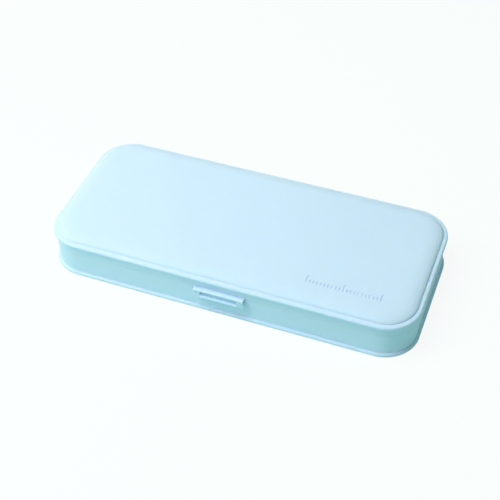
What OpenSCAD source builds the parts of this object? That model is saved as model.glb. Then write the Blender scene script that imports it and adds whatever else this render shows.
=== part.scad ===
// Hinged pencil case: a moulded base and lid, a snap clasp at the front,
// steel hinge pins at the back and a lift-out tray with a channel for each pencil.
// Millimetres, +Z up. The origin is in the middle of the flat underside.

/* [Case] */
// Length over the flanges
case_l = 208; // [180:1:260]
// Width over the flanges
case_w = 92; // [75:1:120]
// Plan radius of the flange corners
corner_r = 19.6; // [17:0.1:26]
// How far a flange stands out from the wall below it
flange_out = 1.4; // [1.2:0.1:2.4]
// Thickness of the side walls
wall_t = 2; // [1.8:0.1:2.6]
// Running gap between the rim of the base and the skirt of the lid
parting_gap = 0.2; // [0.15:0.05:0.4]

/* [Base] */
// Height of the base, from the table to its rim
base_h = 14.7; // [13.5:0.1:24]
// Thickness of the floor
floor_t = 1.8; // [1.4:0.1:2.6]
// Thickness of the flange the case stands on
foot_t = 1.8; // [1.2:0.1:2.4]
// Height of the lip that locates the lid
lip_h = 1.6; // [1:0.1:2.4]
// Thickness of the lip
lip_t = 0.9; // [0.7:0.05:1.1]
// Depth of the stiffening groove in the underside
bead_depth = 0.4; // [0.2:0.1:0.8]
// Width of the stiffening groove
bead_w = 1.4; // [0.8:0.1:3]
// Distance of the stiffening groove from the edge
bead_in = 9; // [6:0.5:14]

/* [Lid] */
// Height of the skirt, from its lower edge to the flange
skirt_h = 5.4; // [5.2:0.1:10]
// Thickness of the lid's flange
flange_t = 1.9; // [1.4:0.1:2.4]
// How far the lid's flange lies inside the flange of the base
lid_inset = 0.2; // [0:0.1:0.5]
// Flat ring of the flange left outside the raised top
ring_w = 2.4; // [2:0.1:5]
// Rise of the top above the flange
crown_h = 2.8; // [2.2:0.1:6]
// Width of the curved shoulder round the top
shoulder_w = 8; // [4:0.1:10]
// Thickness of the raised top
top_t = 1.8; // [1.4:0.1:2.4]

/* [Scale on the lid] */
// Number of sunk marks
mark_count = 21; // [11:10:41]
// Spacing of the marks
mark_pitch = 2; // [1.6:0.1:3]
// Width of a mark
mark_w = 0.6; // [0.4:0.1:0.8]
// Length of a short mark
mark_short = 2.4; // [1.5:0.1:4]
// Length of each tenth mark
mark_long = 5; // [3:0.1:7]
// Depth of the marks
mark_depth = 0.35; // [0.2:0.05:0.6]
// Distance from the right-hand edge to the last mark
mark_in_x = 21.3; // [16:0.1:40]
// Distance from the front edge to the near ends of the marks
mark_in_y = 15; // [11:0.1:25]

/* [Rear hinge] */
// Diameter of the steel hinge pins
hinge_pin_d = 1.5; // [1:0.1:2]
// Plastic round the hinge pins
knuckle_t = 0.95; // [0.8:0.05:1.4]
// Radial clearance of the lid's knuckle on its pin
hinge_play = 0.05; // [0.02:0.01:0.1]
// Width of one of the base's knuckles
base_knuckle_w = 6; // [4:0.5:10]
// Width of the lid's knuckle
lid_knuckle_w = 11.4; // [8:0.2:20]
// Distance of each hinge from the middle of the case
hinge_x = 58; // [35:1:70]
// How far the hinge pins lie inside their knuckles at each end
pin_recess = 0.5; // [0.2:0.1:1]

/* [Clasp] */
// Width of the clasp and of the hood above it
clasp_w = 27.8; // [24:0.2:40]
// How far the clasp stands out from the wall
clasp_out = 2.75; // [2.7:0.05:3.5]
// Height of the lower edge of the clasp above the table
clasp_z = 10.4; // [9:0.1:11]
// Width of the window in the clasp
window_w = 20.7; // [16:0.1:22]
// Height of the bar below the window
bar_h = 1.6; // [1.3:0.1:1.8]
// Depth of that bar's top, front to back
bar_t = 1.65; // [1.5:0.05:1.75]
// How far the bar's pull edge stands out from the face of the clasp
pull_out = 0.7; // [0.4:0.1:0.8]
// Height of the pull edge
pull_h = 0.9; // [0.6:0.1:1]
// Thickness of the hood on the lid
hood_t = 0.9; // [0.8:0.05:1.4]
// Thickness of the ears that carry the clasp
ear_t = 1.3; // [1.1:0.1:1.8]
// Diameter of the clasp's steel pins
clasp_pin_d = 0.9; // [0.8:0.05:1]
// Radial clearance of the clasp's pins in the ears
clasp_play = 0.05; // [0.02:0.01:0.1]
// Side clearance between an ear and the clasp
ear_gap = 0.2; // [0.15:0.05:0.4]
// Depth of the pin's hole in the clasp
clasp_bore = 1.5; // [1.2:0.1:1.8]
// Height of the catch rib on the base
rib_h = 2; // [1.6:0.1:2.4]
// Width of the catch rib
rib_w = 17; // [12:0.5:18]

/* [Tray] */
// Clearance between the tray and the base
tray_gap = 0.5; // [0.3:0.1:1]
// Gap below the tray
tray_lift = 0.3; // [0.2:0.1:0.5]
// Thickness of the tray's walls
tray_t = 1.2; // [1:0.1:1.6]
// Thickness of the tray under the pencils
tray_floor = 1.2; // [0.9:0.1:1.6]
// Height of the tray
tray_h = 9.2; // [7:0.1:11]
// Diameter of the pencils that the channels take
pencil_d = 7.2; // [6.8:0.1:8]
// Length of the channels
channel_l = 178; // [150:1:185]
// Clearance round a pencil in its channel
pencil_gap = 0.2; // [0.1:0.05:0.4]
// Height of the ridges between the channels
ridge_h = 2.6; // [2:0.1:3.2]
// Width of a ridge at the height of the pencils' centres
ridge_w = 0.3; // [0.2:0.1:1]
// Radius of the finger notches in the ends of the tray
notch_r = 11; // [8:0.5:16]
// Depth of the finger notches
notch_depth = 4; // [3:0.5:6]

/* [Hidden] */
$fn = 64;
eps = 0.2;

// Clearances between pieces that move past each other
moving_gap = 0.3;

// Plan: every outline is concentric at the corners, so one radius places it
centre_x = case_l/2 - corner_r;
centre_y = case_w/2 - corner_r;
wall_r = corner_r - flange_out;
inner_r = wall_r - wall_t;
lip_r = inner_r + lip_t;
rebate_r = lip_r + moving_gap;
lid_r = corner_r - lid_inset;
crown_r = lid_r - ring_w;
tray_r = inner_r - tray_gap;
tray_inner_r = tray_r - tray_t;
wall_y = centre_y + wall_r;

// Heights
skirt_z = base_h + parting_gap;
flange_z = skirt_z + skirt_h;
flange_top = flange_z + flange_t;
lid_top = flange_top + crown_h;
rebate_top = base_h + lip_h + moving_gap;

// Small radii of the mouldings
edge_r = 1.1;
bottom_edge_r = 0.15;
fillet_r = 0.3;
land = 0.05;
foot_edge_r = min(flange_out - fillet_r, foot_t - bottom_edge_r) - land;
rim_r = 0.25;
floor_r = 1.2;

// Crease at the foot of the raised top, and where the shoulder takes over from it
crease_r = 0.3;
crease_end = 200;
shoulder_start = 12;

// Rear hinge
knuckle_r = hinge_pin_d/2 + knuckle_t;
axis_y = wall_y + moving_gap + knuckle_r;
axis_z = base_h + parting_gap/2;
gusset_angle = 35;
hinge_span = lid_knuckle_w + 2*base_knuckle_w + 2*moving_gap;

// Clasp and its hood
hood_z = base_h;
hood_top = hood_z + hood_t;
hood_gap = 0.25;
clasp_face_y = -wall_y - clasp_out;
clasp_back_y = -wall_y - moving_gap;
pin_wall = 0.4;
pivot_r = clasp_pin_d/2 + pin_wall;
pivot_y = clasp_face_y + pivot_r;
pivot_z = hood_z - hood_gap - pivot_r;
cheek_x = clasp_w/2 - ear_t - ear_gap;
clasp_shoulder_z = pivot_z - pivot_r - moving_gap;
clasp_edge_r = 0.3;
clasp_pin_recess = 0.3;
clasp_pin_l = clasp_bore + ear_gap + ear_t - clasp_pin_recess;
bar_back_y = clasp_face_y + bar_t - pull_out;
rib_out = -wall_y - bar_back_y - moving_gap;
rib_z = clasp_z + bar_h + moving_gap;
rib_flat = 0.7;

// Tray
tray_z = floor_t + tray_lift;
tray_top = tray_z + tray_h;
tray_edge_r = 0.3;
channel_r = pencil_d/2 + pencil_gap;
channel_pitch = 2*channel_r + ridge_w;
channel_z = tray_z + tray_floor + channel_r;
channel_count = floor(2*(centre_y + tray_inner_r)/channel_pitch);
ridge_top = tray_z + tray_floor + ridge_h;

plastic = [0.73, 0.9, 0.95];
tray_plastic = [0.93, 0.96, 0.97];
steel = [0.75, 0.76, 0.78];

// Points of an arc from one angle to another
function arc(centre, r, from, to, steps = 6) =
  [for (i = [0:steps]) let (a = from + (to - from)*i/steps) centre + r*[cos(a), sin(a)]];

// Points up the curved shoulder of the top, an ellipse's quarter from its foot to the flat
function shoulder(width, rise, foot, start, steps = 18) =
  [for (i = [0:steps]) let (a = start + (90 - start)*i/steps)
    [crown_r - shoulder_w + width*cos(a), foot + rise*sin(a)]];

// Half outline carried to both sides of a section, with the middle filled in
module section(half, outline) {
  bottom = outline[0][1];
  height = outline[len(outline) - 1][1] - bottom;
  for (side = [0, 1])
    mirror([side, 0]) translate([half, 0]) polygon(outline);
  translate([-half, bottom]) square([2*half, height]);
}

// A solid with the case's rounded plan. The outline gives distance from a corner's
// centre and height, and starts and ends at that centre
module case_solid(outline) {
  for (turn = [0:3])
    translate([(turn == 0 || turn == 3 ? 1 : -1)*centre_x, (turn < 2 ? 1 : -1)*centre_y, 0])
      rotate(90*turn) rotate_extrude(angle = 90) polygon(outline);
  rotate([90, 0, 90]) linear_extrude(2*centre_x, center = true) section(centre_y, outline);
  rotate([90, 0, 0]) linear_extrude(2*centre_y, center = true) section(centre_x, outline);
}

// A straight-sided slab of the case's plan
module case_slab(r, from, to) {
  case_solid([[0, from], [r, from], [r, to], [0, to]]);
}

// A rod along X
module rod(x, y, z, r, length) {
  translate([x - length/2, y, z]) rotate([0, 90, 0]) cylinder(h = length, r = r);
}

// A bar along X with the given section in Y and Z
module bar(x, length, outline) {
  translate([x - length/2, 0, 0]) rotate([90, 0, 90]) linear_extrude(length) polygon(outline);
}

// One knuckle with its gusset, which runs down the base's wall or up the lid's skirt
module knuckle(x, width, up) {
  reach = [cos(gusset_angle), sin(gusset_angle)]*knuckle_r;
  run = (axis_y + reach[0] - wall_y + eps)/sin(gusset_angle);
  seat = up*parting_gap/2;
  rod(x, axis_y, axis_z, knuckle_r, width);
  bar(x, width, [
    [wall_y - eps, axis_z + seat],
    [axis_y, axis_z + seat],
    [axis_y + reach[0], axis_z + up*reach[1]],
    [wall_y - eps, axis_z + up*(reach[1] + run*cos(gusset_angle))],
  ]);
}

// Hinge bores of both hinges
module hinge_bores(r) {
  for (side = [-1, 1])
    rod(side*hinge_x, axis_y, axis_z, r, hinge_span + 2*eps);
}

// The base: floor, walls, flange, locating lip, catch rib and two pairs of knuckles
module base_shell() {
  color(plastic) difference() {
    union() {
      case_solid(concat(
        [[0, 0], [corner_r - bottom_edge_r, 0]],
        arc([corner_r - bottom_edge_r, bottom_edge_r], bottom_edge_r, -90, 0),
        arc([corner_r - foot_edge_r, foot_t - foot_edge_r], foot_edge_r, 0, 90),
        arc([wall_r + fillet_r, foot_t + fillet_r], fillet_r, 270, 180),
        [[wall_r, base_h - rim_r], [wall_r - rim_r, base_h], [lip_r, base_h],
         [lip_r, base_h + lip_h - rim_r], [lip_r - rim_r, base_h + lip_h], [0, base_h + lip_h]]
      ));
      for (side = [-1, 1], end = [-1, 1])
        knuckle(side*hinge_x + end*(hinge_span - base_knuckle_w)/2, base_knuckle_w, -1);
      bar(0, rib_w, [
        [-wall_y + eps, rib_z],
        [-wall_y - rib_out, rib_z],
        [-wall_y - rib_out, rib_z + rib_flat],
        [-wall_y + eps, rib_z + rib_h],
      ]);
    }
    case_solid(concat(
      [[0, floor_t], [inner_r - floor_r, floor_t]],
      arc([inner_r - floor_r, floor_t + floor_r], floor_r, -90, 0),
      [[inner_r, base_h + lip_h + eps], [0, base_h + lip_h + eps]]
    ));
    hinge_bores(hinge_pin_d/2);
    difference() {
      case_slab(corner_r - bead_in, -eps, bead_depth);
      case_slab(corner_r - bead_in - bead_w, -2*eps, bead_depth + eps);
    }
  }
}

// The lid: skirt, flange, raised top, one knuckle in each hinge and the clasp's hood
module lid_shell() {
  color(plastic) difference() {
    union() {
      case_solid(concat(
        [[0, skirt_z], [wall_r - rim_r, skirt_z], [wall_r, skirt_z + rim_r]],
        arc([wall_r + fillet_r, flange_z - fillet_r], fillet_r, 180, 90),
        arc([lid_r - bottom_edge_r, flange_z + bottom_edge_r], bottom_edge_r, -90, 0),
        arc([lid_r - edge_r, flange_top - edge_r], edge_r, 0, 90),
        arc([crown_r + crease_r, flange_top + crease_r], crease_r, 270, crease_end),
        shoulder(shoulder_w, crown_h, flange_top, shoulder_start),
        [[0, lid_top]]
      ));
      for (side = [-1, 1])
        knuckle(side*hinge_x, lid_knuckle_w, 1);
      clasp_hood();
    }
    case_solid(concat(
      [[0, skirt_z - eps], [rebate_r, skirt_z - eps], [rebate_r, rebate_top],
       [inner_r, rebate_top], [inner_r, flange_z - eps]],
      shoulder(shoulder_w - top_t, crown_h - top_t, flange_top, 0),
      [[0, lid_top - top_t]]
    ));
    hinge_bores(hinge_pin_d/2 + hinge_play);
    scale_marks();
  }
}

// The hood over the clasp, with an ear at each end that takes one of the clasp's pins
module clasp_hood() {
  bar(0, clasp_w, [
    [-wall_y + eps, skirt_z],
    [clasp_back_y, skirt_z],
    [clasp_back_y, hood_z],
    [clasp_face_y, hood_z],
    [clasp_face_y, hood_top - clasp_edge_r],
    [clasp_face_y + clasp_edge_r, hood_top],
    [-wall_y + eps, hood_top],
  ]);
  for (side = [-1, 1]) difference() {
    union() {
      rod(side*(clasp_w - ear_t)/2, pivot_y, pivot_z, pivot_r, ear_t);
      translate([side*(clasp_w - ear_t)/2 - ear_t/2, pivot_y - pivot_r, pivot_z])
        cube([ear_t, 2*pivot_r, hood_z + eps - pivot_z]);
    }
    rod(side*(clasp_w - ear_t)/2, pivot_y, pivot_z, clasp_pin_d/2 + clasp_play, ear_t + 2*eps);
  }
}

// The row of marks sunk in the top: short ones, and a long one at each tenth
module scale_marks() {
  for (i = [0:mark_count - 1])
    translate([case_l/2 - mark_in_x - i*mark_pitch - mark_w/2, -case_w/2 + mark_in_y, lid_top - mark_depth])
      cube([mark_w, i % 10 == 0 ? mark_long : mark_short, mark_depth + eps]);
}

// The clasp: two cheeks and a bar with a pull edge, which swings under the catch rib
module clasp() {
  color(plastic) difference() {
    union() {
      for (side = [-1, 1]) {
        cheek_upper(side);
        cheek_lower(side);
      }
      bar(0, window_w + 2*eps, [
        [clasp_face_y, clasp_z + clasp_edge_r],
        [clasp_face_y + clasp_edge_r, clasp_z],
        [bar_back_y, clasp_z],
        [bar_back_y, clasp_z + bar_h],
        [clasp_face_y - pull_out, clasp_z + bar_h],
        [clasp_face_y - pull_out, clasp_z + bar_h - pull_h],
      ]);
    }
    for (side = [-1, 1])
      rod(side*(cheek_x - clasp_bore/2 + eps/2), pivot_y, pivot_z, clasp_pin_d/2, clasp_bore + eps);
  }
}

// A cheek between the ears: its front and top turn round the pin, its back clears the wall
module cheek_upper(side) {
  width = cheek_x - window_w/2;
  back_r = clasp_back_y - pivot_y;
  middle = side*(cheek_x + window_w/2)/2;
  rod(middle, pivot_y, pivot_z, pivot_r, width);
  translate([middle - width/2, pivot_y - pivot_r, clasp_shoulder_z - eps])
    cube([width, pivot_r + back_r, pivot_z + eps - clasp_shoulder_z]);
  intersection() {
    rod(middle, pivot_y, pivot_z, back_r, width);
    translate([middle - width/2, pivot_y, pivot_z - eps])
      cube([width, back_r, pivot_r + eps]);
  }
}

// A cheek below the ears, as wide as the hood
module cheek_lower(side) {
  width = (clasp_w - window_w)/2;
  bar(side*(clasp_w + window_w)/4, width, [
    [clasp_face_y, clasp_z + clasp_edge_r],
    [clasp_face_y + clasp_edge_r, clasp_z],
    [clasp_back_y, clasp_z],
    [clasp_back_y, clasp_shoulder_z],
    [clasp_face_y, clasp_shoulder_z],
  ]);
}

// A steel pin of the rear hinge
module hinge_pin(side) {
  color(steel) rod(side*hinge_x, axis_y, axis_z, hinge_pin_d/2, hinge_span - 2*pin_recess);
}

// A steel pin of the clasp, pressed into a cheek and turning in an ear
module clasp_pin(side) {
  color(steel) rod(side*(cheek_x - clasp_bore + clasp_pin_l/2), pivot_y, pivot_z, clasp_pin_d/2, clasp_pin_l);
}

// The lift-out tray: a shallow pan with ridges between the pencils and a finger notch at each end
module pencil_tray() {
  color(tray_plastic) difference() {
    union() {
      difference() {
        case_solid(concat(
          [[0, tray_z], [tray_r - floor_r, tray_z]],
          arc([tray_r - floor_r, tray_z + floor_r], floor_r, -90, 0),
          [[tray_r, tray_top - tray_edge_r], [tray_r - tray_edge_r, tray_top], [0, tray_top]]
        ));
        case_slab(tray_inner_r, tray_z + tray_floor, tray_top + eps);
      }
      intersection() {
        translate([-channel_l/2, -case_w/2, tray_z + tray_floor - eps])
          cube([channel_l, case_w, ridge_h + eps]);
        case_slab(tray_inner_r + eps, tray_z + tray_floor - eps, ridge_top);
      }
    }
    for (i = [0:channel_count - 1])
      rod(0, (i - (channel_count - 1)/2)*channel_pitch, channel_z, channel_r, channel_l + 2*eps);
    for (end = [-1, 1])
      rod(end*(centre_x + tray_r - tray_t/2), 0, tray_top + notch_r - notch_depth, notch_r, 3*tray_t);
  }
}

base_shell();
lid_shell();
clasp();
hinge_pin(-1);  // hinge_pin_left
hinge_pin(1);  // hinge_pin_right
clasp_pin(-1);  // clasp_pin_left
clasp_pin(1);  // clasp_pin_right
pencil_tray();
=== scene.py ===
# %% [markdown]
# # A moulded plastic pencil case, dressed on its construction model
#
# The case has a base, a hinged lid, a small clasp, four steel wire pins and a lift-out tray.
# The construction model gives the bodies and the joints. This lesson models each piece again with
# soft, moulded edges, gives it a plastic or steel finish, and lights it like a small product shot.
# All sizes are in millimetres, as on a drawing, and turned into metres where a shape is made.

# %% Load the construction model
import math
import bpy
from mathutils import Matrix, Vector


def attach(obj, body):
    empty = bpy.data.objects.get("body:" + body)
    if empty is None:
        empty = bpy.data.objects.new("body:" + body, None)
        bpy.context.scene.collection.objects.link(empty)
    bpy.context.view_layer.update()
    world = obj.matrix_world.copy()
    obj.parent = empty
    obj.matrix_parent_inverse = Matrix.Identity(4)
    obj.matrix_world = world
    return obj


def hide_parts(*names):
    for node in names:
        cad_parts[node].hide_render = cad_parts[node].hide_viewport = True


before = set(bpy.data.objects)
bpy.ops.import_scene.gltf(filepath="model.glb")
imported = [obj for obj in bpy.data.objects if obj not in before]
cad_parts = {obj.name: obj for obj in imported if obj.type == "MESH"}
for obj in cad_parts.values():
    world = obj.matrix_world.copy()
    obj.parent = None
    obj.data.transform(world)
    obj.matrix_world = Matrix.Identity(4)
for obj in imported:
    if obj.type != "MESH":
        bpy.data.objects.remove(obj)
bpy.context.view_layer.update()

# %% [markdown]
# ## The drawing's values
#
# Every outline of the case is a rectangle with round corners, and all of them share the same four
# corner centres. A radius from a corner centre is therefore enough to place a wall, a flange or a
# lip, so the values below are mostly radii and heights.

# %% Sizes of the case
MM = 0.001
CASE_L, CASE_W = 208.0, 92.0
CORNER_R = 19.6
CENTRE_X, CENTRE_Y = CASE_L/2 - CORNER_R, CASE_W/2 - CORNER_R
WALL_R = CORNER_R - 1.4
INNER_R = WALL_R - 2.0
LIP_R = INNER_R + 0.9
REBATE_R = LIP_R + 0.3
WALL_Y = CENTRE_Y + WALL_R

BASE_H, FLOOR_T, FOOT_T, LIP_H = 14.7, 1.8, 1.8, 1.6
SKIRT_Z = BASE_H + 0.12
FLANGE_Z, FLANGE_TOP = 20.3, 22.2
LID_R = CORNER_R - 0.2
CROWN_R = LID_R - 2.4
CROWN_H, SHOULDER_W, TOP_T = 2.8, 8.0, 1.8
LID_TOP = FLANGE_TOP + CROWN_H
print("walls end at y =", round(WALL_Y, 2), "mm; the lid's top is at", LID_TOP, "mm")

# %% [markdown]
# Moulded edges are never sharp, and each kind has its own radius. The two flanges end in a broad
# nose, a fillet fills each inner corner, and the two faces that meet at the parting line keep
# almost sharp edges, so that the gap between them looks thin. Two allowances are for the modelling
# itself: a joined shape sinks a little into its neighbour, and a cutting tool is longer than its cut.

# %% Radii of the edges, and allowances
FOOT_NOSE_R, LID_NOSE_R, PARTING_R = 1.05, 1.1, 0.08
FILLET_R, CREASE_R, FLOOR_R = 0.3, 0.35, 1.2
EDGE_R, THIN_EDGE_R, LIP_EDGE_R = 0.15, 0.1, 0.25
SINK, PLAY, OVERCUT = 0.2, 0.05, 1
FLAT_IN = 4.0
print("the flanges end in noses of", FOOT_NOSE_R, "and", LID_NOSE_R, "mm")

# %% Sizes of the hinges, the clasp and the tray
HINGE_X, PIN_R, KNUCKLE_R = 58.0, 0.75, 1.7
BASE_KNUCKLE_W, LID_KNUCKLE_W, GAP = 6.0, 11.4, 0.3
HINGE_SPAN = LID_KNUCKLE_W + 2*BASE_KNUCKLE_W + 2*GAP
AXIS_Y, AXIS_Z = WALL_Y + GAP + KNUCKLE_R, BASE_H + 0.1

CLASP_W, CLASP_OUT, CLASP_Z, WINDOW_W = 27.8, 2.75, 10.4, 20.7
BAR_H, BAR_T, PULL_OUT, PULL_H, HOOD_T, EAR_T = 1.6, 1.65, 0.7, 0.9, 0.9, 1.3
FACE_Y, BACK_Y = -WALL_Y - CLASP_OUT, -WALL_Y - GAP
BAR_BACK_Y = FACE_Y + BAR_T - PULL_OUT
HOOD_Z = BASE_H
CLASP_PIN_R, CLASP_PIN_L, CLASP_BORE, PIVOT_R = 0.45, 2.7, 1.5, 0.85
PIVOT_Y, PIVOT_Z = FACE_Y + PIVOT_R, HOOD_Z - 0.25 - PIVOT_R
CHEEK_X = CLASP_W/2 - EAR_T - 0.15
SHOULDER_Z = PIVOT_Z - PIVOT_R - 0.15

TRAY_GAP, TRAY_T, TRAY_FLOOR, RIDGE_H = 0.5, 1.2, 1.2, 2.6
TRAY_R, TRAY_INNER_R = INNER_R - TRAY_GAP, INNER_R - (TRAY_GAP + TRAY_T)
TRAY_Z, TRAY_H = FLOOR_T + 0.3, 9.2
CHANNEL_R, CHANNEL_PITCH, CHANNEL_L = 3.8, 7.9, 178.0
CHANNEL_COUNT = int(2*(CENTRE_Y + TRAY_INNER_R)/CHANNEL_PITCH)
print("hinge axis at", round(AXIS_Y, 2), round(AXIS_Z, 2), "and", CHANNEL_COUNT, "pencil channels")

# %% [markdown]
# ## Tools for the modelling
#
# An operator works on whatever is selected, so each tool starts by deselecting everything. The
# tools are small on purpose: draw a chain of points, carry a section round the case, push an
# outline along a rod, join or cut two shapes, and soften the edges that are left.

# %% Selecting
def select_only(obj):
    """Object mode, with this object alone selected and active."""
    if bpy.context.object and bpy.context.object.mode != "OBJECT":
        bpy.ops.object.mode_set(mode="OBJECT")
    bpy.ops.object.select_all(action="DESELECT")
    obj.select_set(True)
    bpy.context.view_layer.objects.active = obj


def edit(obj, kind="VERT"):
    """Edit mode on this object, with nothing selected in it."""
    select_only(obj)
    bpy.ops.object.mode_set(mode="EDIT")
    bpy.ops.mesh.select_mode(type=kind)
    bpy.ops.mesh.select_all(action="DESELECT")


def bake_place(obj):
    """Moves the object's place and turn into its mesh, so that the object sits at the origin."""
    select_only(obj)
    bpy.ops.object.transform_apply(location=True, rotation=True, scale=True)
    return obj


# %% [markdown]
# A chain is the edge line that a section is drawn with. It starts as a plane merged into one
# vertex, and each next corner is that vertex extruded. Round corners are worked out beforehand:
# a corner with a radius becomes a short run of points on an arc that both sides meet smoothly.

# %% Drawing a section
def rounded(points, steps=5):
    """Points of an outline. A corner given as (x, y, r) is rounded with the radius r."""
    out = []
    for i, p in enumerate(points):
        if len(p) == 2:
            out.append(Vector(p))
            continue
        here = Vector(p[:2])
        back = (Vector(points[i - 1][:2]) - here).normalized()
        ahead = (Vector(points[(i + 1) % len(points)][:2]) - here).normalized()
        half = back.angle(ahead)/2
        centre = here + (back + ahead).normalized()*p[2]/math.sin(half)
        first = here + back*p[2]/math.tan(half) - centre
        last = here + ahead*p[2]/math.tan(half) - centre
        turn = first.angle_signed(last)
        out += [centre + Matrix.Rotation(-turn*k/steps, 2) @ first for k in range(steps + 1)]
    return out


def chain(name, points):
    """An open line of edges through these points, given in metres."""
    bpy.ops.object.select_all(action="DESELECT")
    bpy.ops.mesh.primitive_plane_add(size=MM, location=points[0])
    obj = bpy.context.object
    obj.name = name
    bake_place(obj)
    bpy.ops.object.mode_set(mode="EDIT")
    bpy.ops.mesh.select_all(action="SELECT")
    bpy.ops.mesh.merge(type="CENTER")
    for a, b in zip(points, points[1:]):
        bpy.ops.mesh.extrude_vertices_move(TRANSFORM_OT_translate={"value": Vector(b) - Vector(a)})
    return obj


# %% [markdown]
# The plan of the case is made with one section and eight moves: a quarter turn about each corner
# centre, and a straight extrusion along each side. The two ends of the section leave a hole in
# the underside and in the inner face, and each is closed with one flat face.

# %% Carrying a section round the case
def round_the_case(name, section, steps=18):
    """A closed shell from a section of (distance from a corner centre, height)."""
    obj = chain(name, [((CENTRE_X + r)*MM, CENTRE_Y*MM, z*MM) for r, z in section])
    bpy.ops.mesh.select_all(action="SELECT")
    cx, cy = CENTRE_X*MM, CENTRE_Y*MM
    for x, y, move in ((cx, cy, (-2*cx, 0, 0)), (-cx, cy, (0, -2*cy, 0)),
                       (-cx, -cy, (2*cx, 0, 0)), (cx, -cy, (0, 2*cy, 0))):
        bpy.ops.mesh.spin(steps=steps, angle=-math.pi/2, center=(x, y, 0), axis=(0, 0, 1))
        bpy.ops.mesh.extrude_region_move(TRANSFORM_OT_translate={"value": move})
    bpy.ops.mesh.select_all(action="SELECT")
    bpy.ops.mesh.remove_doubles(threshold=1e-6)
    for _, z in (section[0], section[-1]):
        close_rim(obj, z)
    edit(obj)
    bpy.ops.mesh.select_all(action="SELECT")
    bpy.ops.mesh.normals_make_consistent(inside=False)
    bpy.ops.object.mode_set(mode="OBJECT")
    return obj


def close_rim(obj, height):
    """Closes the open rim at this height with one flat face."""
    edit(obj, "EDGE")
    bpy.ops.mesh.select_non_manifold()
    bpy.ops.object.mode_set(mode="OBJECT")
    points = obj.data.vertices
    for edge in obj.data.edges:
        if abs(points[edge.vertices[0]].co.z - height*MM) > 1e-6:
            edge.select = False
    bpy.ops.object.mode_set(mode="EDIT")
    bpy.ops.mesh.edge_face_add()


# %% [markdown]
# Bars and rods lie along the length of the case. A bar is a closed outline, filled and extruded.
# A rod is a cylinder whose rims are bevelled, because cut wire and moulded bosses are never sharp.

# %% Bars, rods and boxes
def bar(name, x, length, outline):
    """A bar along X, centred at x, with an outline of (y, z) corners."""
    points = [((x - length/2)*MM, y*MM, z*MM) for y, z in outline]
    obj = chain(name, points)
    bpy.ops.mesh.select_all(action="SELECT")
    bpy.ops.mesh.edge_face_add()
    bpy.ops.mesh.extrude_region_move(TRANSFORM_OT_translate={"value": (length*MM, 0, 0)})
    bpy.ops.mesh.select_all(action="SELECT")
    bpy.ops.mesh.normals_make_consistent(inside=False)
    bpy.ops.object.mode_set(mode="OBJECT")
    return obj


def rod(name, x, y, z, r, length, rim=0.0, sides=40):
    """A rod along X, with rims rounded by rim."""
    bpy.ops.object.select_all(action="DESELECT")
    bpy.ops.mesh.primitive_cylinder_add(vertices=sides, radius=r*MM, depth=length*MM,
                                        location=(x*MM, y*MM, z*MM), rotation=(0, math.pi/2, 0))
    obj = bpy.context.object
    obj.name = name
    bake_place(obj)
    if rim:
        soften(obj, rim, segments=3)
    return obj


def box(name, low, high):
    """A box between two corners."""
    bpy.ops.object.select_all(action="DESELECT")
    centre = [(a + b)/2*MM for a, b in zip(low, high)]
    bpy.ops.mesh.primitive_cube_add(size=1, location=centre,
                                    scale=[(b - a)*MM for a, b in zip(low, high)])
    obj = bpy.context.object
    obj.name = name
    return bake_place(obj)


# %% Joining, cutting and softening
def apply_modifier(obj, modifier):
    """Turns the modifier's result into the mesh."""
    select_only(obj)
    bpy.ops.object.modifier_apply(modifier=modifier.name)


def combine(obj, tool, how):
    """Joins (UNION) the tool to the object or cuts it out (DIFFERENCE), and drops the tool."""
    m = obj.modifiers.new(how.lower(), "BOOLEAN")
    m.operation, m.solver, m.object = how, "MANIFOLD", tool
    apply_modifier(obj, m)
    bpy.data.objects.remove(tool)


def soften(obj, width, segments=3, angle=35):
    """Rounds every edge that turns by more than the angle."""
    m = obj.modifiers.new("soft_edges", "BEVEL")
    m.width, m.segments = width*MM, segments
    m.limit_method, m.angle_limit = "ANGLE", math.radians(angle)
    m.use_clamp_overlap = True
    apply_modifier(obj, m)


def smooth(obj, angle=32):
    """Smooth shading that stays flat on flat faces, because large faces weigh more."""
    select_only(obj)
    bpy.ops.object.shade_smooth_by_angle(angle=math.radians(angle))
    m = obj.modifiers.new("even_normals", "WEIGHTED_NORMAL")
    m.keep_sharp, m.weight = True, 100
    apply_modifier(obj, m)
    print(obj.name, "has", len(obj.data.polygons), "faces")


# %% [markdown]
# ## The base
#
# The base is one moulding: the foot flange, the wall that rises from it with a small fillet, the
# rim with its locating lip, and the floor. It could be cut from a block, but a section carried
# round the plan gives the same wall everywhere and lets each edge have its own radius.

# %% Base shell
GROOVE_IN, GROOVE_W, GROOVE_DEPTH, GROOVE_R = 9.0, 1.4, 0.4, 0.12
groove_near, groove_far = CORNER_R - GROOVE_IN, CORNER_R - (GROOVE_IN + GROOVE_W)
base_section = rounded([
    (groove_far, 0.0), (groove_far, GROOVE_DEPTH, GROOVE_R), (groove_near, GROOVE_DEPTH, GROOVE_R),
    (groove_near, 0.0, 0.2), (CORNER_R, 0.0, EDGE_R), (CORNER_R, FOOT_T, FOOT_NOSE_R),
    (WALL_R, FOOT_T, FILLET_R), (WALL_R, BASE_H, PARTING_R), (LIP_R, BASE_H, THIN_EDGE_R),
    (LIP_R, BASE_H + LIP_H, LIP_EDGE_R), (INNER_R, BASE_H + LIP_H, LIP_EDGE_R),
    (INNER_R, FLOOR_T, FLOOR_R), (INNER_R - FLAT_IN, FLOOR_T),
])
base = round_the_case("base_moulding", base_section)
print("base reaches", [round(v*1000, 2) for v in base.dimensions])

# %% [markdown]
# The knuckles of the rear hinges are short rods with a gusset that runs into the wall, so that
# they come out of the mould without an undercut. One tool makes them for base and lid: in the
# base the gusset runs down, in the lid it runs up.

# %% Hinge knuckles
GUSSET_SLOPE, GUSSET_SEAT = math.radians(35), 0.1


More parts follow.
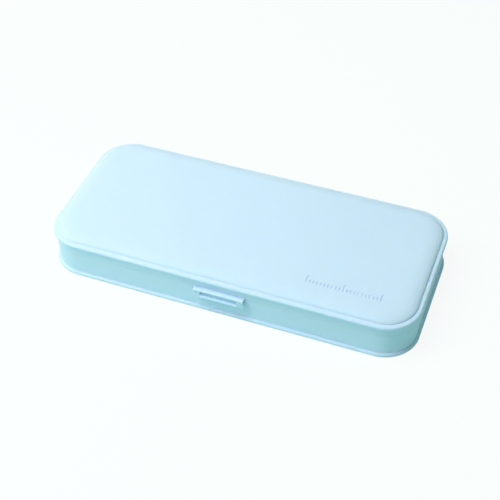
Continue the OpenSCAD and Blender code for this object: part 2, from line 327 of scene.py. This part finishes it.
def knuckle(name, x, width, up):
    """One knuckle with its gusset, which runs up (1) or down (-1) into the wall."""
    reach_y, reach_z = KNUCKLE_R*math.cos(GUSSET_SLOPE), KNUCKLE_R*math.sin(GUSSET_SLOPE)
    run = (AXIS_Y + reach_y - WALL_Y + SINK)/math.tan(GUSSET_SLOPE)
    seat = up*GUSSET_SEAT
    boss = rod(name, x, AXIS_Y, AXIS_Z, KNUCKLE_R, width)
    gusset = bar(name + "_gusset", x, width, [
        (WALL_Y - SINK, AXIS_Z + seat), (AXIS_Y, AXIS_Z + seat),
        (AXIS_Y + reach_y, AXIS_Z + up*reach_z), (WALL_Y - SINK, AXIS_Z + up*(reach_z + run))])
    combine(boss, gusset, "UNION")
    soften(boss, EDGE_R, segments=2, angle=60)
    return boss


for side in (-1, 1):
    for end in (-1, 1):
        x = side*HINGE_X + end*(HINGE_SPAN - BASE_KNUCKLE_W)/2
        combine(base, knuckle("base_knuckle", x, BASE_KNUCKLE_W, -1), "UNION")
    combine(base, rod("pin_bore", side*HINGE_X, AXIS_Y, AXIS_Z, PIN_R, HINGE_SPAN + OVERCUT), "DIFFERENCE")

# %% [markdown]
# On a real case the clasp's bar is sprung over the catch rib and holds the lid shut. Here the bar
# hangs 0.3 mm in front of the rib, so the two look engaged but nothing latches. The rib could also
# be a row of bumps or a slot in the wall. A ledge, flat below and sloping above, is the simplest.

# %% Catch rib
RIB_W, RIB_H, RIB_FLAT, RIB_EDGE_R = 17.0, 2.0, 0.7, 0.2
RIB_OUT, RIB_Z = -WALL_Y - BAR_BACK_Y - GAP, CLASP_Z + BAR_H + GAP
rib = bar("catch_rib", 0, RIB_W, rounded([
    (-WALL_Y + SINK, RIB_Z), (-WALL_Y - RIB_OUT, RIB_Z, RIB_EDGE_R),
    (-WALL_Y - RIB_OUT, RIB_Z + RIB_FLAT, RIB_EDGE_R), (-WALL_Y + SINK, RIB_Z + RIB_H)], 3))
combine(base, rib, "UNION")
smooth(base)

# %% [markdown]
# ## The lid
#
# The lid repeats the flange near its upper edge and rises inside it in a soft shoulder. The
# shoulder is a quarter of an ellipse, wide and low, so that light slides over it from the flat
# top and drops only at the very end. The row of sunk marks near the front edge is a plain scale.

# %% Lid shell
def shoulder(width, rise, foot, start, steps=16):
    """Points from the foot of the shoulder up to the flat top."""
    run = [math.radians(start + (90 - start)*k/steps) for k in range(steps + 1)]
    return [(CROWN_R - SHOULDER_W + width*math.cos(a), foot + rise*math.sin(a)) for a in run]


SHOULDER_START, TOP_FLAT_IN, CEILING_DROP = 12, 2.0, 0.2
outer = shoulder(SHOULDER_W, CROWN_H, FLANGE_TOP, SHOULDER_START)
inner = shoulder(SHOULDER_W - TOP_T, CROWN_H - TOP_T, FLANGE_TOP, 0)
lid_section = rounded([
    (CROWN_R - SHOULDER_W - TOP_FLAT_IN, LID_TOP - TOP_T), *reversed(inner),
    (INNER_R, FLANGE_Z - CEILING_DROP), (INNER_R, BASE_H + LIP_H + GAP, 0.2),
    (REBATE_R, BASE_H + LIP_H + GAP, THIN_EDGE_R), (REBATE_R, SKIRT_Z, EDGE_R),
    (WALL_R, SKIRT_Z, PARTING_R), (WALL_R, FLANGE_Z, FILLET_R), (LID_R, FLANGE_Z, EDGE_R),
    (LID_R, FLANGE_TOP, LID_NOSE_R), (CROWN_R, FLANGE_TOP, CREASE_R), *outer,
    (CROWN_R - SHOULDER_W - TOP_FLAT_IN, LID_TOP)])
lid = round_the_case("lid_moulding", lid_section)
print("lid reaches", [round(v*1000, 2) for v in lid.dimensions])

# %% Lid knuckles and scale marks
for side in (-1, 1):
    combine(lid, knuckle("lid_knuckle", side*HINGE_X, LID_KNUCKLE_W, 1), "UNION")
    combine(lid, rod("pin_bore", side*HINGE_X, AXIS_Y, AXIS_Z, PIN_R + PLAY, HINGE_SPAN + OVERCUT),
            "DIFFERENCE")

MARK_COUNT, MARK_PITCH, MARK_W, MARK_DEPTH = 21, 2, 0.7, 0.45
MARK_LONG, MARK_SHORT, MARK_FROM_END, MARK_FROM_FRONT = 5.0, 2.4, 21.3, 15
marks = None
for i in range(MARK_COUNT):
    x, y = CASE_L/2 - MARK_FROM_END - MARK_PITCH*i, -CASE_W/2 + MARK_FROM_FRONT
    length = MARK_LONG if i % 10 == 0 else MARK_SHORT
    mark = box("mark", (x - MARK_W/2, y, LID_TOP - MARK_DEPTH), (x + MARK_W/2, y + length, LID_TOP + SINK))
    if marks:
        select_only(marks)
        mark.select_set(True)
        bpy.ops.object.join()
    else:
        marks = mark
combine(lid, marks, "DIFFERENCE")

# %% [markdown]
# The clasp hangs under a small hood on the lid. The hood is a bar with an ear at each end, and
# each ear has a hole for a wire pin.

# %% Clasp hood
HOOD_EDGE_R = 0.3
hood = bar("hood", 0, CLASP_W, rounded([
    (-WALL_Y + SINK, SKIRT_Z), (BACK_Y, SKIRT_Z), (BACK_Y, HOOD_Z), (FACE_Y, HOOD_Z),
    (FACE_Y, HOOD_Z + HOOD_T, HOOD_EDGE_R), (-WALL_Y + SINK, HOOD_Z + HOOD_T)], 4))
for side in (-1, 1):
    x = side*(CLASP_W - EAR_T)/2
    ear = rod("ear", x, PIVOT_Y, PIVOT_Z, PIVOT_R, EAR_T)
    combine(ear, box("ear_web", (x - EAR_T/2, PIVOT_Y - PIVOT_R, PIVOT_Z),
                     (x + EAR_T/2, PIVOT_Y + PIVOT_R, HOOD_Z + SINK)), "UNION")
    combine(ear, rod("ear_bore", x, PIVOT_Y, PIVOT_Z, CLASP_PIN_R + PLAY, EAR_T + OVERCUT), "DIFFERENCE")
    combine(hood, ear, "UNION")
combine(lid, hood, "UNION")
smooth(lid)

# %% [markdown]
# ## The clasp
#
# The clasp is a small frame: two cheeks turn on the pins between the ears, and a thin bar closes
# the frame below the window. The bar hangs in front of the catch rib and doesn't grip it. The
# upper part of the bar stands 0.7 mm further out, as an edge for a fingernail to pull. The frame
# could be cut from one plate. Here the outlines of bar and cheeks are pushed along the length, so
# that the window is simply the space that is left between them.

# %% Clasp
def cheek(side):
    """The upper and the lower part of one cheek."""
    x0, x1 = WINDOW_W/2, CHEEK_X
    back = BACK_Y - PIVOT_Y
    ark = [(PIVOT_Y - PIVOT_R*math.cos(math.radians(a)), PIVOT_Z + PIVOT_R*math.sin(math.radians(a)))
           for a in range(0, 91, 15)]
    ark += [(PIVOT_Y + back*math.sin(math.radians(a)), PIVOT_Z + back*math.cos(math.radians(a)))
            for a in range(50, 91, 8)]
    ark = [(y, min(z, PIVOT_Z + PIVOT_R)) for y, z in ark]
    upper = bar("clasp_cheek", side*(x0 + x1)/2, x1 - x0,
                [(PIVOT_Y - PIVOT_R, SHOULDER_Z - SINK), *ark, (BACK_Y, SHOULDER_Z - SINK)])
    lower = bar("clasp_cheek_low", side*(x0 + CLASP_W/2)/2, CLASP_W/2 - x0, [
        (FACE_Y, CLASP_Z), (BACK_Y, CLASP_Z), (BACK_Y, SHOULDER_Z), (FACE_Y, SHOULDER_Z)])
    combine(lower, upper, "UNION")
    return lower


LOWER_EDGE_H, CLASP_EDGE_R = 0.3, 0.12
clasp = bar("clasp_frame", 0, WINDOW_W + 2*SINK, [
    (FACE_Y, CLASP_Z), (BAR_BACK_Y, CLASP_Z), (BAR_BACK_Y, CLASP_Z + BAR_H),
    (FACE_Y - PULL_OUT, CLASP_Z + BAR_H), (FACE_Y - PULL_OUT, CLASP_Z + BAR_H - PULL_H),
    (FACE_Y, CLASP_Z + LOWER_EDGE_H)])
for side in (-1, 1):
    combine(clasp, cheek(side), "UNION")
soften(clasp, CLASP_EDGE_R, segments=3, angle=50)
for side in (-1, 1):
    combine(clasp, rod("bore", side*(CHEEK_X - (CLASP_BORE - SINK)/2), PIVOT_Y, PIVOT_Z, CLASP_PIN_R,
                       CLASP_BORE + SINK), "DIFFERENCE")
smooth(clasp)

# %% [markdown]
# ## The pins
#
# All four pins are cut from steel wire. Each is a cylinder with a tiny rounded rim.

# %% Wire pins
PIN_RECESS, PIN_RIM_R, CLASP_PIN_RIM_R = 0.5, 0.15, 0.1
PIN_L = HINGE_SPAN - 2*PIN_RECESS
pins = {}
for side, word in ((-1, "left"), (1, "right")):
    pins["hinge_pin_" + word] = rod("hinge_wire_" + word, side*HINGE_X, AXIS_Y, AXIS_Z,
                                    PIN_R, PIN_L, rim=PIN_RIM_R)
    pins["clasp_pin_" + word] = rod("clasp_wire_" + word, side*(CHEEK_X - CLASP_BORE + CLASP_PIN_L/2),
                                    PIVOT_Y, PIVOT_Z, CLASP_PIN_R, CLASP_PIN_L, rim=CLASP_PIN_RIM_R)
for pin in pins.values():
    smooth(pin)

# %% [markdown]
# ## The tray
#
# The tray is a shallow pan that drops into the base. Its ridges are what is left of a low block
# after ten round channels are taken out of it, one for each pencil. A notch in each end wall
# leaves room for a fingertip.

# %% Pencil tray
TRAY_FOOT_R, TRAY_RIM_R, NOTCH_R, NOTCH_UP, NOTCH_W = 1.2, 0.45, 11, 7, 3.6
tray_top, floor_z = TRAY_Z + TRAY_H, TRAY_Z + TRAY_FLOOR
tray_section = rounded([
    (TRAY_INNER_R - FLAT_IN, TRAY_Z), (TRAY_R, TRAY_Z, TRAY_FOOT_R), (TRAY_R, tray_top, TRAY_RIM_R),
    (TRAY_INNER_R, tray_top, TRAY_RIM_R), (TRAY_INNER_R, floor_z, FILLET_R),
    (TRAY_INNER_R - FLAT_IN, floor_z)])
tray = round_the_case("pencil_rack", tray_section)

ridge_top, half_w = floor_z + RIDGE_H, CENTRE_Y + TRAY_INNER_R + SINK
ridges = bar("ridges", 0, CHANNEL_L, rounded([
    (-half_w, floor_z - SINK), (half_w, floor_z - SINK), (half_w, ridge_top), (-half_w, ridge_top)]))
for i in range(CHANNEL_COUNT):
    y = (i - (CHANNEL_COUNT - 1)/2)*CHANNEL_PITCH
    combine(ridges, rod("channel", 0, y, floor_z + CHANNEL_R, CHANNEL_R, CHANNEL_L + OVERCUT, sides=72),
            "DIFFERENCE")
combine(tray, ridges, "UNION")
for end in (-1, 1):
    notch = rod("notch", end*(CENTRE_X + TRAY_R - TRAY_T/2), 0, tray_top + NOTCH_UP,
                NOTCH_R, NOTCH_W, sides=72)
    combine(tray, notch, "DIFFERENCE")
smooth(tray)

# %% [markdown]
# ## Who moves with what
#
# Each piece rides on the body that carries it and stands in for its construction solid, so a
# pose of the lid or the clasp moves the dressed pieces too.

# %% Riding and replacing
for piece, node, body, slot in ((base, "base_shell", "base", "shell_plastic"),
                                (lid, "lid_shell", "lid", "shell_plastic"),
                                (clasp, "clasp", "clasp", "clasp_plastic"),
                                (tray, "pencil_tray", "tray", "tray_plastic"),
                                (pins["hinge_pin_left"], "hinge_pin_left", "base", "pin_steel"),
                                (pins["hinge_pin_right"], "hinge_pin_right", "base", "pin_steel"),
                                (pins["clasp_pin_left"], "clasp_pin_left", "clasp", "pin_steel"),
                                (pins["clasp_pin_right"], "clasp_pin_right", "clasp", "pin_steel")):
    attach(piece, body)
    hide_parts(node)
    print(piece.name, "rides on", body)

# %% [markdown]
# ## Effects that several finishes share
#
# A mould is spark-eroded to leave a fine, even grain, so every plastic face carries tiny bumps. The
# colour of a moulding drifts a little where the plastic cooled at different speeds, and hands
# polish the outermost edges, which makes them glossier. The edges are also painted lighter, as a
# painted highlight. Each effect is built once as a node group with its own inputs, and each
# material gives it its own values.

# %% Building node groups
def new_group(name, inputs, outputs):
    """An empty shader group with these sockets. Returns the group, its input and its output node."""
    group = bpy.data.node_groups.new(name, "ShaderNodeTree")
    for label, kind, value in inputs:
        group.interface.new_socket(label, in_out="INPUT", socket_type=kind).default_value = value
    for label, kind in outputs:
        group.interface.new_socket(label, in_out="OUTPUT", socket_type=kind)
    return group, group.nodes.new("NodeGroupInput"), group.nodes.new("NodeGroupOutput")


def node(tree, kind, **values):
    """A node of this kind, with settings by name and plain socket values by socket name."""
    made = tree.nodes.new("ShaderNode" + kind)
    for key, value in values.items():
        if hasattr(made, key):
            setattr(made, key, value)
        else:
            made.inputs[key.replace("_", " ")].default_value = value
    return made


def math_node(tree, operation, a, b=None):
    """A Math node. Each of a and b is a number or a socket."""
    made = node(tree, "Math", operation=operation)
    for slot, value in zip(made.inputs, (a, b)):
        if isinstance(value, bpy.types.NodeSocket):
            tree.links.new(value, slot)
        elif value is not None:
            slot.default_value = value
    return made.outputs[0]


# %% Moulded grain
grain, g_in, g_out = new_group(
    "moulded_grain",
    [("Grain Scale", "NodeSocketFloat", 2600.0), ("Wave Scale", "NodeSocketFloat", 90.0),
     ("Wave Share", "NodeSocketFloat", 1.5)],
    [("Height", "NodeSocketFloat"), ("Shine", "NodeSocketFloat")])
place = node(grain, "TexCoord").outputs["Object"]
fine = node(grain, "TexNoise", Detail=2.0, Roughness=0.6)
wave = node(grain, "TexNoise", Detail=1.0, Roughness=0.4)
for tex, scale in ((fine, "Grain Scale"), (wave, "Wave Scale")):
    grain.links.new(place, tex.inputs["Vector"])
    grain.links.new(g_in.outputs[scale], tex.inputs["Scale"])
swell = math_node(grain, "MULTIPLY", wave.outputs["Fac"], g_in.outputs["Wave Share"])
grain.links.new(math_node(grain, "ADD", fine.outputs["Fac"], swell), g_out.inputs["Height"])
grain.links.new(fine.outputs["Fac"], g_out.inputs["Shine"])

# %% Slow drift of the colour
drift, d_in, d_out = new_group(
    "colour_drift",
    [("Color", "NodeSocketColor", (1, 1, 1, 1)), ("Scale", "NodeSocketFloat", 22.0),
     ("Amount", "NodeSocketFloat", 0.04)],
    [("Color", "NodeSocketColor")])
clouds = node(drift, "TexNoise", Detail=2.0, Roughness=0.5)
drift.links.new(node(drift, "TexCoord").outputs["Object"], clouds.inputs["Vector"])
drift.links.new(d_in.outputs["Scale"], clouds.inputs["Scale"])
centred = math_node(drift, "SUBTRACT", clouds.outputs["Fac"], 0.5)
offset = math_node(drift, "MULTIPLY", centred, d_in.outputs["Amount"])
tint = node(drift, "HueSaturation")
drift.links.new(math_node(drift, "ADD", offset, 1.0), tint.inputs["Value"])
drift.links.new(d_in.outputs["Color"], tint.inputs["Color"])
drift.links.new(tint.outputs["Color"], d_out.inputs["Color"])

# %% [markdown]
# Edges are found by asking for the normal of a slightly rounded copy of the surface, which the
# Bevel node gives, and comparing it with the true normal. Where they differ there is an edge. The
# mask makes an edge glossier, as polish does, and paints its colour lighter, a painted highlight.
# A noise breaks the mask up, since no hand rubs an edge evenly; the painted highlight is broken up
# with it.

# %% Edges: a painted highlight and polish
highlight_and_gloss_group, w_in, w_out = new_group(
    "edge_highlight_and_gloss",
    [("Radius", "NodeSocketFloat", 0.0004), ("Breakup Scale", "NodeSocketFloat", 160.0)],
    [("Mask", "NodeSocketFloat")])
soft = node(highlight_and_gloss_group, "Bevel", samples=4)
highlight_and_gloss_group.links.new(w_in.outputs["Radius"], soft.inputs["Radius"])
same = node(highlight_and_gloss_group, "VectorMath", operation="DOT_PRODUCT")
highlight_and_gloss_group.links.new(soft.outputs["Normal"], same.inputs[0])
highlight_and_gloss_group.links.new(node(highlight_and_gloss_group, "NewGeometry").outputs["Normal"], same.inputs[1])
edge = node(highlight_and_gloss_group, "MapRange", clamp=True)
for label, value in (("From Min", 0.998), ("From Max", 0.93), ("To Min", 0.0), ("To Max", 1.0)):
    edge.inputs[label].default_value = value
highlight_and_gloss_group.links.new(same.outputs["Value"], edge.inputs["Value"])
patches = node(highlight_and_gloss_group, "TexNoise", Detail=3.0, Roughness=0.6)
highlight_and_gloss_group.links.new(node(highlight_and_gloss_group, "TexCoord").outputs["Object"], patches.inputs["Vector"])
highlight_and_gloss_group.links.new(w_in.outputs["Breakup Scale"], patches.inputs["Scale"])
broken = math_node(highlight_and_gloss_group, "MULTIPLY", edge.outputs["Result"], patches.outputs["Fac"])
highlight_and_gloss_group.links.new(broken, w_out.inputs["Mask"])
print("groups:", ", ".join(g.name for g in bpy.data.node_groups))


# %% Placing a group in a material
def place_group(tree, group, **values):
    """The group as a node, with its inputs set by name."""
    made = tree.nodes.new("ShaderNodeGroup")
    made.node_tree = group
    for key, value in values.items():
        made.inputs[key.replace("_", " ")].default_value = value
    return made


def mix_colour(tree, factor, a, b):
    """Mixes colour a to colour b by a factor. Colours are sockets or four numbers."""
    made = node(tree, "Mix", data_type="RGBA")
    tree.links.new(factor, made.inputs["Factor"])
    for slot, value in ((made.inputs[6], a), (made.inputs[7], b)):
        if isinstance(value, bpy.types.NodeSocket):
            tree.links.new(value, slot)
        else:
            slot.default_value = value
    return made.outputs[2]


# %% [markdown]
# ## The plastic of the case and of the tray
#
# The case is moulded in pale blue polypropylene. It is slightly see-through, so light enters an
# edge and comes out again a little way off, which makes thin flanges glow beside the walls. That
# is what subsurface scattering does. The tray is the same plastic in off-white, a little glossier.

# %% Plastic
def plastic(name, colour, edge_highlight_colour, roughness, scatter, grain_depth, drift_amount):
    """Moulded polypropylene with grain, colour drift, and a painted highlight and polish on edges."""
    m = bpy.data.materials.new(name)
    m.use_nodes = True
    tree = m.node_tree
    b = tree.nodes["Principled BSDF"]
    b.inputs["IOR"].default_value = 1.49
    b.inputs["Specular IOR Level"].default_value = 0.25
    b.inputs["Subsurface Weight"].default_value = 1.0
    b.inputs["Subsurface Radius"].default_value = (0.7, 0.9, 1.0)
    b.inputs["Subsurface Scale"].default_value = scatter

    texture = place_group(tree, grain)
    highlight_and_gloss = place_group(tree, highlight_and_gloss_group)
    cloudy = place_group(tree, drift, Color=(*colour, 1), Amount=drift_amount)
    # The edges are mixed half way towards a lighter colour: a painted highlight.
    painted_highlight_share = math_node(tree, "MULTIPLY", highlight_and_gloss.outputs["Mask"], 0.5)
    tree.links.new(mix_colour(tree, painted_highlight_share, cloudy.outputs["Color"], (*edge_highlight_colour, 1)), b.inputs["Base Color"])

    uneven = math_node(tree, "MULTIPLY", math_node(tree, "SUBTRACT", texture.outputs["Shine"], 0.5), 0.16)
    # The edges are also a little less rough, as polish makes them.
    edge_roughness_drop = math_node(tree, "MULTIPLY", highlight_and_gloss.outputs["Mask"], -0.12)
    grained = math_node(tree, "ADD", uneven, roughness)
    tree.links.new(math_node(tree, "ADD", grained, edge_roughness_drop), b.inputs["Roughness"])

    bump = node(tree, "Bump", Strength=1.0, Distance=grain_depth)
    tree.links.new(texture.outputs["Height"], bump.inputs["Height"])
    tree.links.new(bump.outputs["Normal"], b.inputs["Normal"])
    return m


# The second colour of each plastic is the lighter colour of its painted edge highlight.
blue = plastic("pale_blue_plastic", colour=(0.645, 0.767, 0.988), edge_highlight_colour=(0.71, 0.84, 0.99),
               roughness=0.6, scatter=0.0006, grain_depth=0.00001, drift_amount=0.03)
white = plastic("off_white_plastic", colour=(0.80, 0.84, 0.86), edge_highlight_colour=(0.88, 0.90, 0.92),
                roughness=0.42, scatter=0.001, grain_depth=0.000006, drift_amount=0.04)

# %% [markdown]
# ## The wire
#
# Spring wire is drawn through a die, which leaves fine lines along it. A noise stretched along the
# length of the pins gives those lines in the roughness and in a very shallow bump.

# %% Drawn steel wire
wire = bpy.data.materials.new("drawn_wire")
wire.use_nodes = True
tree = wire.node_tree
b = tree.nodes["Principled BSDF"]
b.inputs["Metallic"].default_value = 1.0
stretch = node(tree, "Mapping")
stretch.inputs["Scale"].default_value = (0.02, 1, 1)
lines = node(tree, "TexNoise", Scale=9000.0, Detail=3.0, Roughness=0.7)
tree.links.new(node(tree, "TexCoord").outputs["Object"], stretch.inputs["Vector"])
tree.links.new(stretch.outputs["Vector"], lines.inputs["Vector"])
steel = mix_colour(tree, lines.outputs["Fac"], (0.52, 0.53, 0.55, 1), (0.74, 0.75, 0.77, 1))
tree.links.new(steel, b.inputs["Base Color"])
streaks = math_node(tree, "MULTIPLY", lines.outputs["Fac"], 0.25)
tree.links.new(math_node(tree, "ADD", streaks, 0.2), b.inputs["Roughness"])
bump = node(tree, "Bump", Strength=0.5, Distance=0.000004)
tree.links.new(lines.outputs["Fac"], bump.inputs["Height"])
tree.links.new(bump.outputs["Normal"], b.inputs["Normal"])


# %% Dressing the pieces
def dress(obj, material):
    """Gives the piece this one material."""
    obj.data.materials.clear()
    obj.data.materials.append(material)


for piece in (base, lid, clasp):
    dress(piece, blue)
dress(tray, white)
for pin in pins.values():
    dress(pin, wire)
print("materials:", ", ".join(m.name for m in (blue, white, wire)))

# %% [markdown]
# ## The floor and the world
#
# The case stands on a plain pale floor. Seen directly or in a reflection, the floor and the world
# are white, and the floor keeps only a faint shadow. To every other ray the floor is matt card of a
# pale green-blue, and the world is a dim sky of nearly the same colour. The lamps light the top far
# more than the walls, so this tinted light is a larger share of what the walls receive and makes
# them look more teal. Light Path tells the two kinds of ray apart, so the white background adds
# nothing to the case's own brightness.

# %% Rays that see the background
def seen_directly(tree):
    """1 for camera, glossy and transmission rays, and 0 for the others."""
    path = node(tree, "LightPath")
    seen = math_node(tree, "MAXIMUM", path.outputs["Is Camera Ray"], path.outputs["Is Glossy Ray"])
    return math_node(tree, "MAXIMUM", seen, path.outputs["Is Transmission Ray"])


# %% Floor
CARD_COLOUR, WHITE_SHARE = (0.61, 0.94, 0.87, 1), 0.9
bpy.ops.object.select_all(action="DESELECT")
bpy.ops.mesh.primitive_plane_add(size=8)
floor = bpy.context.object
floor.name = "floor"
card = bpy.data.materials.new("pale_card")
card.use_nodes = True
tree = card.node_tree
b = tree.nodes["Principled BSDF"]
b.inputs["Base Color"].default_value = CARD_COLOUR
b.inputs["Roughness"].default_value = 0.9
b.inputs["Specular IOR Level"].default_value = 0.0
glow = node(tree, "Emission", Strength=1.0)
blend = node(tree, "MixShader")
tree.links.new(math_node(tree, "MULTIPLY", seen_directly(tree), WHITE_SHARE), blend.inputs[0])
tree.links.new(b.outputs[0], blend.inputs[1])
tree.links.new(glow.outputs[0], blend.inputs[2])
tree.links.new(blend.outputs[0], tree.nodes["Material Output"].inputs["Surface"])
dress(floor, card)

# %% World
SKY_COLOUR, SKY_STRENGTH = (0.62, 1, 0.92, 1), 0.35
world = bpy.data.worlds.new("studio")
bpy.context.scene.world = world
world.use_nodes = True
tree = world.node_tree
dim = tree.nodes["Background"]
dim.inputs["Color"].default_value = SKY_COLOUR
dim.inputs["Strength"].default_value = SKY_STRENGTH
bright = node(tree, "Background", Color=(1, 1, 1, 1), Strength=1.0)
blend = node(tree, "MixShader")
tree.links.new(seen_directly(tree), blend.inputs[0])
tree.links.new(dim.outputs[0], blend.inputs[1])
tree.links.new(bright.outputs[0], blend.inputs[2])
tree.links.new(blend.outputs[0], tree.nodes["World Output"].inputs["Surface"])

# %% [markdown]
# ## The lamps
#
# A large soft lamp overhead gives the even light of a product shot, and a second one, from the left
# and the front, makes the left side a little brighter than the right.

# %% Lamps
def lamp(name, place, size, power, target=(0, 0, 0.01)):
    """A square area lamp that points at the case."""
    data = bpy.data.lights.new(name, "AREA")
    data.size, data.energy = size, power
    obj = bpy.data.objects.new(name, data)
    bpy.context.scene.collection.objects.link(obj)
    obj.location = place
    obj.rotation_euler = (Vector(target) - Vector(place)).to_track_quat("-Z", "Y").to_euler()


lamp("key", place=(-0.45, -0.35, 0.60), size=0.3, power=2.65)
lamp("over", place=(-0.25, -0.1, 0.9), size=0.5, power=4.5)

# %% [markdown]
# A long lens from the front right and well above shows the top, the front and the right end at
# once, with little narrowing towards the back. The camera could be pointed at a target, but its
# slight roll couldn't be given that way, so one move and three turns place it.

# %% Camera
CAMERA_PLACE, FOCAL_LENGTH = (0.153171, -0.388860, 0.420862), 76.07
AZIMUTH, ELEVATION, ROLL = 21.477, 44.872, -1.132
cam = bpy.data.cameras.new("camera")
cam.sensor_width, cam.lens, cam.clip_start = 36.0, FOCAL_LENGTH, 0.01
view = bpy.data.objects.new("camera", cam)
bpy.context.scene.collection.objects.link(view)
bpy.context.scene.camera = view
view.matrix_world = (Matrix.Translation(CAMERA_PLACE)
                     @ Matrix.Rotation(math.radians(AZIMUTH), 4, "Z")
                     @ Matrix.Rotation(math.radians(90 - ELEVATION), 4, "X")
                     @ Matrix.Rotation(math.radians(ROLL), 4, "Z"))
bpy.context.scene.view_settings.view_transform = "Standard"
